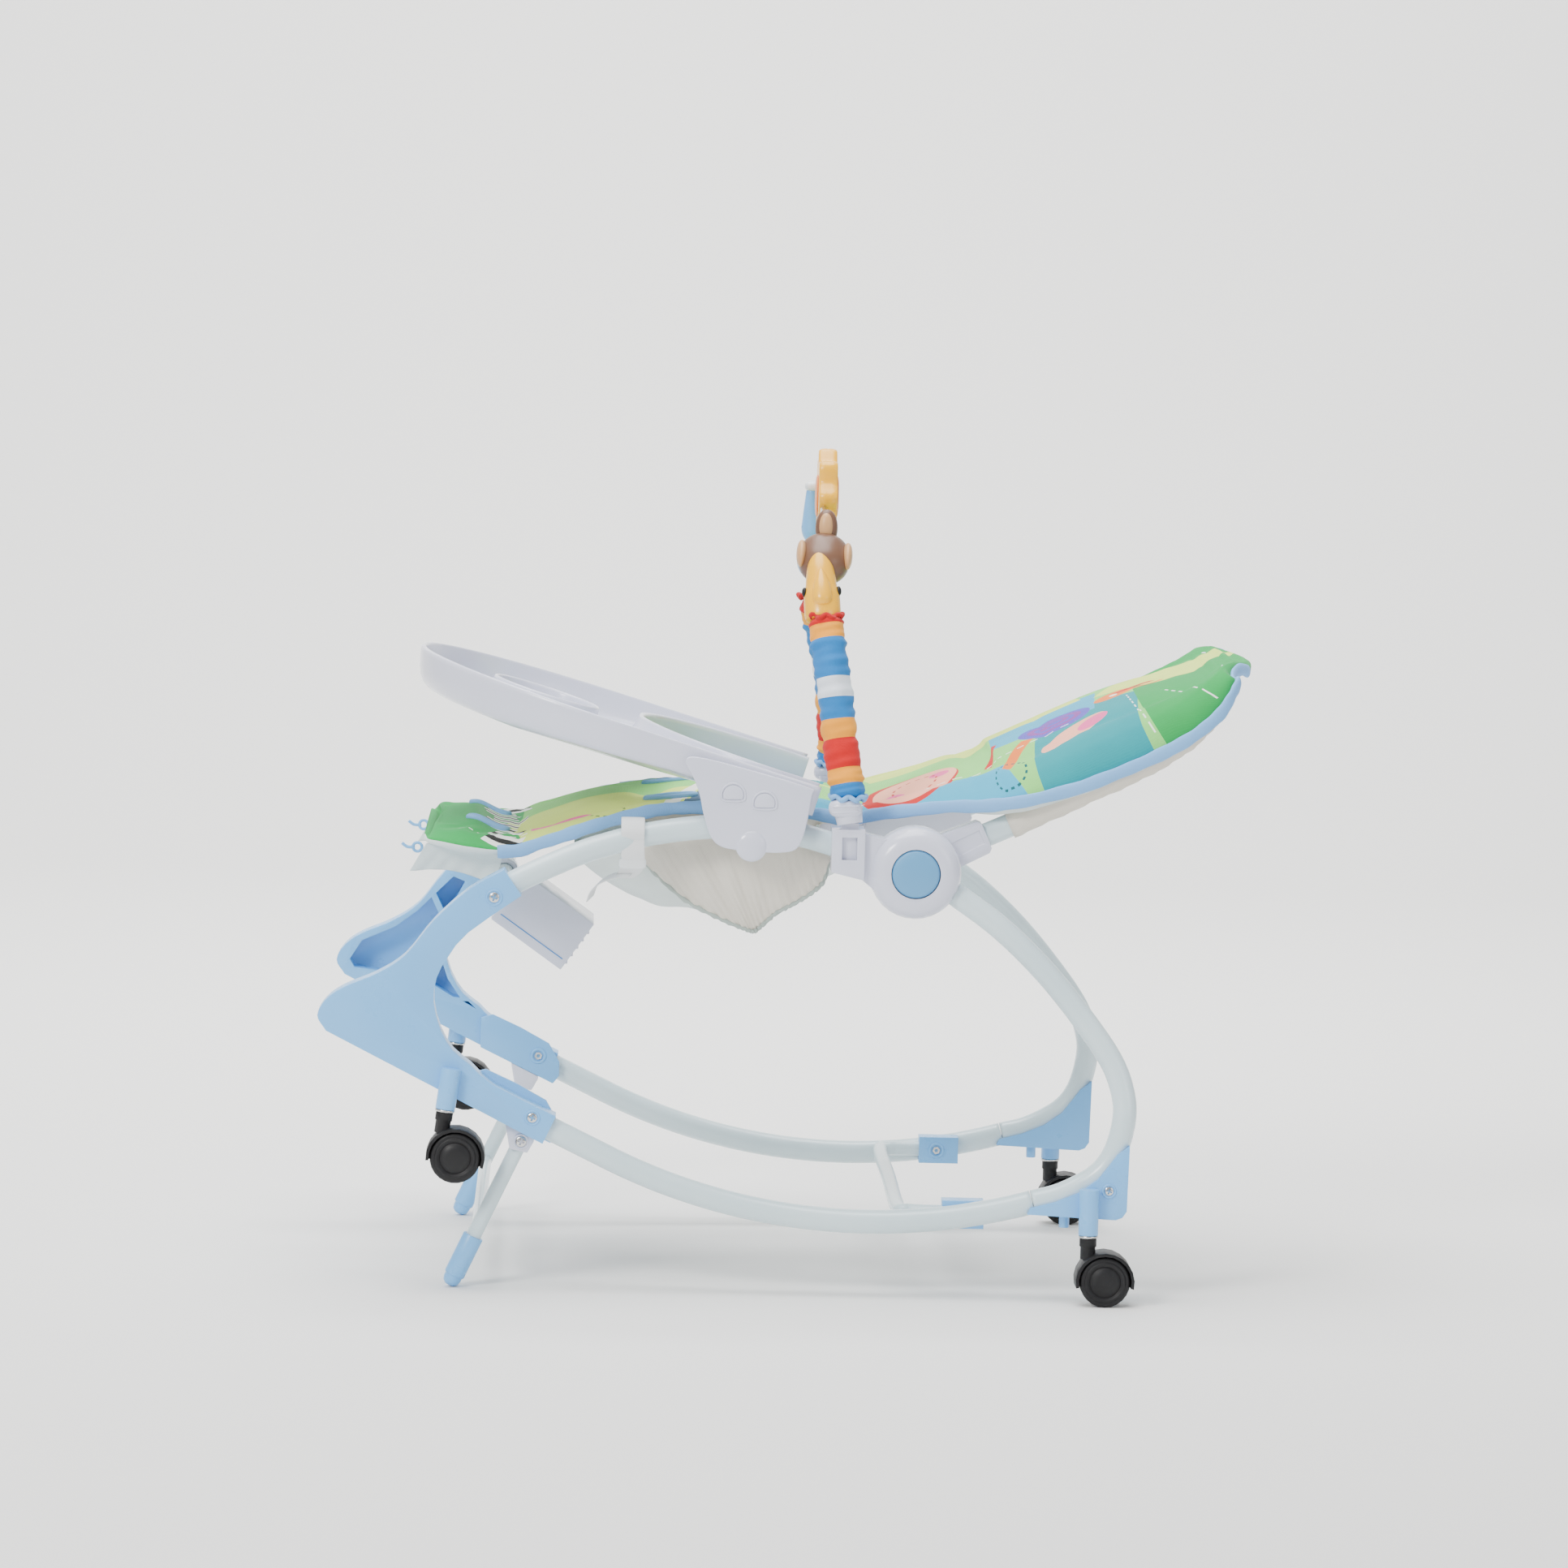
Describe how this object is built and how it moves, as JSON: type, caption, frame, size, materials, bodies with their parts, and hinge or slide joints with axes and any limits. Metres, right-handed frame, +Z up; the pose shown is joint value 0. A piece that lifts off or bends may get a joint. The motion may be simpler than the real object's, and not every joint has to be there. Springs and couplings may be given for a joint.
{
  "type": "bouncer seat",
  "caption": "Baby bouncer on curved tube rails with casters, folding front stand, reclining padded back, snack tray and a bar of hanging toys.",
  "frame": {"origin": "on the floor under the middle of the whole seat", "axes": "+X towards the head end, +Y towards the child's right, +Z up"},
  "size_m": [0.743, 0.4654, 0.6645],
  "materials": {
    "tube_paint": "gloss",
    "blue_plastic": "semi-gloss",
    "white_plastic": "gloss",
    "button_plastic": "satin",
    "steel": "bright",
    "striped_fabric": "woven",
    "black_plastic": "moulded",
    "printed_fabric": "printed satin",
    "cream_fabric": "woven",
    "yellow_plastic": "gloss",
    "brown_plastic": "gloss"
  },
  "bodies": {
    "frame": {"rear_cross_tube": "tube_paint", "seat_front_cross_tube": "tube_paint", "vibration_case": "white_plastic", "battery_cover": "white_plastic", "vibration_motor": "steel", "seat_pad": "printed_fabric", "seat_sling": "cream_fabric", "rail_left": "tube_paint", "rail_right": "tube_paint", "rear_tube_left": "tube_paint", "rear_tube_right": "tube_paint", "seat_tube_left": "tube_paint", "seat_tube_right": "tube_paint", "nose_bracket_left": "blue_plastic", "nose_bracket_right": "blue_plastic", "bracket_cap_left": "blue_plastic", "bracket_cap_right": "blue_plastic", "rear_gusset_left": "blue_plastic", "rear_gusset_right": "blue_plastic", "saddle_left": "blue_plastic", "saddle_right": "blue_plastic", "stand_bracket_left": "white_plastic", "stand_bracket_right": "white_plastic", "hub_housing_left": "white_plastic", "hub_housing_right": "white_plastic"},
    "backrest": {"backrest_arm_left": "white_plastic", "backrest_arm_right": "white_plastic", "backrest_tube": "tube_paint", "backrest_pad": "printed_fabric"},
    "stand": {"stand_leg_left": "tube_paint", "stand_leg_right": "tube_paint", "stand_foot_left": "blue_plastic", "stand_foot_right": "blue_plastic", "stand_cross_bar": "tube_paint"},
    "toy_bar": {"toy_bar_rod": "steel", "toy_plug_left": "white_plastic", "toy_plug_right": "white_plastic", "toy_sleeve_left": "striped_fabric", "toy_sleeve_right": "striped_fabric", "toy_flower": "yellow_plastic"},
    "duck": {"toy_duck": "yellow_plastic"},
    "bear": {"toy_bear": "brown_plastic"},
    "tray": {"tray": "white_plastic"},
    "switch": {"vibration_switch": "button_plastic"},
    "hub_button_left": {"hub_button_left": "button_plastic", "lock_gear_left": "steel"},
    "tray_button_left_1": {"tray_button_left_1": "white_plastic"},
    "tray_button_left_2": {"tray_button_left_2": "white_plastic"},
    "hub_button_right": {"hub_button_right": "button_plastic", "lock_gear_right": "steel"},
    "tray_button_right_1": {"tray_button_right_1": "white_plastic"},
    "tray_button_right_2": {"tray_button_right_2": "white_plastic"},
    "caster_front_left": {"caster_fork_front_left": "black_plastic"},
    "wheel_front_left": {"caster_wheel_front_left": "black_plastic"},
    "caster_front_right": {"caster_fork_front_right": "black_plastic"},
    "wheel_front_right": {"caster_wheel_front_right": "black_plastic"},
    "caster_rear_left": {"caster_fork_rear_left": "black_plastic"},
    "wheel_rear_left": {"caster_wheel_rear_left": "black_plastic"},
    "caster_rear_right": {"caster_fork_rear_right": "black_plastic"},
    "wheel_rear_right": {"caster_wheel_rear_right": "black_plastic"}
  },
  "joints": [
    {"name": "backrest_recline", "type": "hinge", "parent": "frame", "child": "backrest", "pos_m": [0.098, 0, 0.335], "axis": [0, -1, 0], "range_deg": [0, 30]},
    {"name": "stand_fold", "type": "hinge", "parent": "frame", "child": "stand", "pos_m": [-0.209, 0, 0.118], "axis": [0, -1, 0], "range_deg": [0, 80]},
    {"name": "toy_bar_lift", "type": "slide", "parent": "frame", "child": "toy_bar", "axis": [0, 0, 1], "range_m": [0, 0.06]},
    {"name": "tray_lift", "type": "slide", "parent": "frame", "child": "tray", "axis": [-0.4226, 0, 0.9063], "range_m": [0, 0.08]},
    {"name": "switch_slide", "type": "slide", "parent": "frame", "child": "switch", "axis": [0.8192, 0, -0.5736], "range_m": [0, 0.008]},
    {"name": "hub_button_left_press", "type": "slide", "parent": "frame", "child": "hub_button_left", "axis": [0, 1, 0], "range_m": [0, 0.005], "stiffness_N_per_m": 800, "springref_m": -0.002},
    {"name": "tray_button_left_1_press", "type": "slide", "parent": "tray", "child": "tray_button_left_1", "axis": [0, 1, 0], "range_m": [0, 0.003], "stiffness_N_per_m": 400, "springref_m": -0.001},
    {"name": "tray_button_left_2_press", "type": "slide", "parent": "tray", "child": "tray_button_left_2", "axis": [0, 1, 0], "range_m": [0, 0.003], "stiffness_N_per_m": 400, "springref_m": -0.001},
    {"name": "hub_button_right_press", "type": "slide", "parent": "frame", "child": "hub_button_right", "axis": [0, -1, 0], "range_m": [0, 0.005], "stiffness_N_per_m": 800, "springref_m": -0.002},
    {"name": "tray_button_right_1_press", "type": "slide", "parent": "tray", "child": "tray_button_right_1", "axis": [0, -1, 0], "range_m": [0, 0.003], "stiffness_N_per_m": 400, "springref_m": -0.001},
    {"name": "tray_button_right_2_press", "type": "slide", "parent": "tray", "child": "tray_button_right_2", "axis": [0, -1, 0], "range_m": [0, 0.003], "stiffness_N_per_m": 400, "springref_m": -0.001},
    {"name": "caster_front_left_swivel", "type": "hinge", "parent": "frame", "child": "caster_front_left", "pos_m": [-0.269, -0.2185, 0.145], "axis": [0.1288, 0, 0.9917], "continuous": true},
    {"name": "wheel_front_left_roll", "type": "hinge", "parent": "caster_front_left", "child": "wheel_front_left", "pos_m": [-0.26025, -0.2185, 0.10756], "axis": [0, 1, 0], "continuous": true},
    {"name": "caster_front_right_swivel", "type": "hinge", "parent": "frame", "child": "caster_front_right", "pos_m": [-0.269, 0.2185, 0.145], "axis": [0.1288, 0, 0.9917], "continuous": true},
    {"name": "wheel_front_right_roll", "type": "hinge", "parent": "caster_front_right", "child": "wheel_front_right", "pos_m": [-0.26025, 0.2185, 0.10756], "axis": [0, 1, 0], "continuous": true},
    {"name": "caster_rear_left_swivel", "type": "hinge", "parent": "frame", "child": "caster_rear_left", "pos_m": [0.24, -0.2185, 0.056], "axis": [0, 0, 1], "continuous": true},
    {"name": "wheel_rear_left_roll", "type": "hinge", "parent": "caster_rear_left", "child": "wheel_rear_left", "pos_m": [0.2535, -0.2185, 0.02], "axis": [0, 1, 0], "continuous": true},
    {"name": "caster_rear_right_swivel", "type": "hinge", "parent": "frame", "child": "caster_rear_right", "pos_m": [0.24, 0.2185, 0.056], "axis": [0, 0, 1], "continuous": true},
    {"name": "wheel_rear_right_roll", "type": "hinge", "parent": "caster_rear_right", "child": "wheel_rear_right", "pos_m": [0.2535, 0.2185, 0.02], "axis": [0, 1, 0], "continuous": true},
    {"name": "duck_spin", "type": "hinge", "parent": "toy_bar", "child": "duck", "pos_m": [0.02067, -0.12359, 0.55515], "axis": [-0.0592, 0.5828, 0.8104], "continuous": true},
    {"name": "bear_spin", "type": "hinge", "parent": "toy_bar", "child": "bear", "pos_m": [0.02, -0.085, 0.592], "axis": [0.0275, 0.8289, 0.5587], "continuous": true}
  ]
}
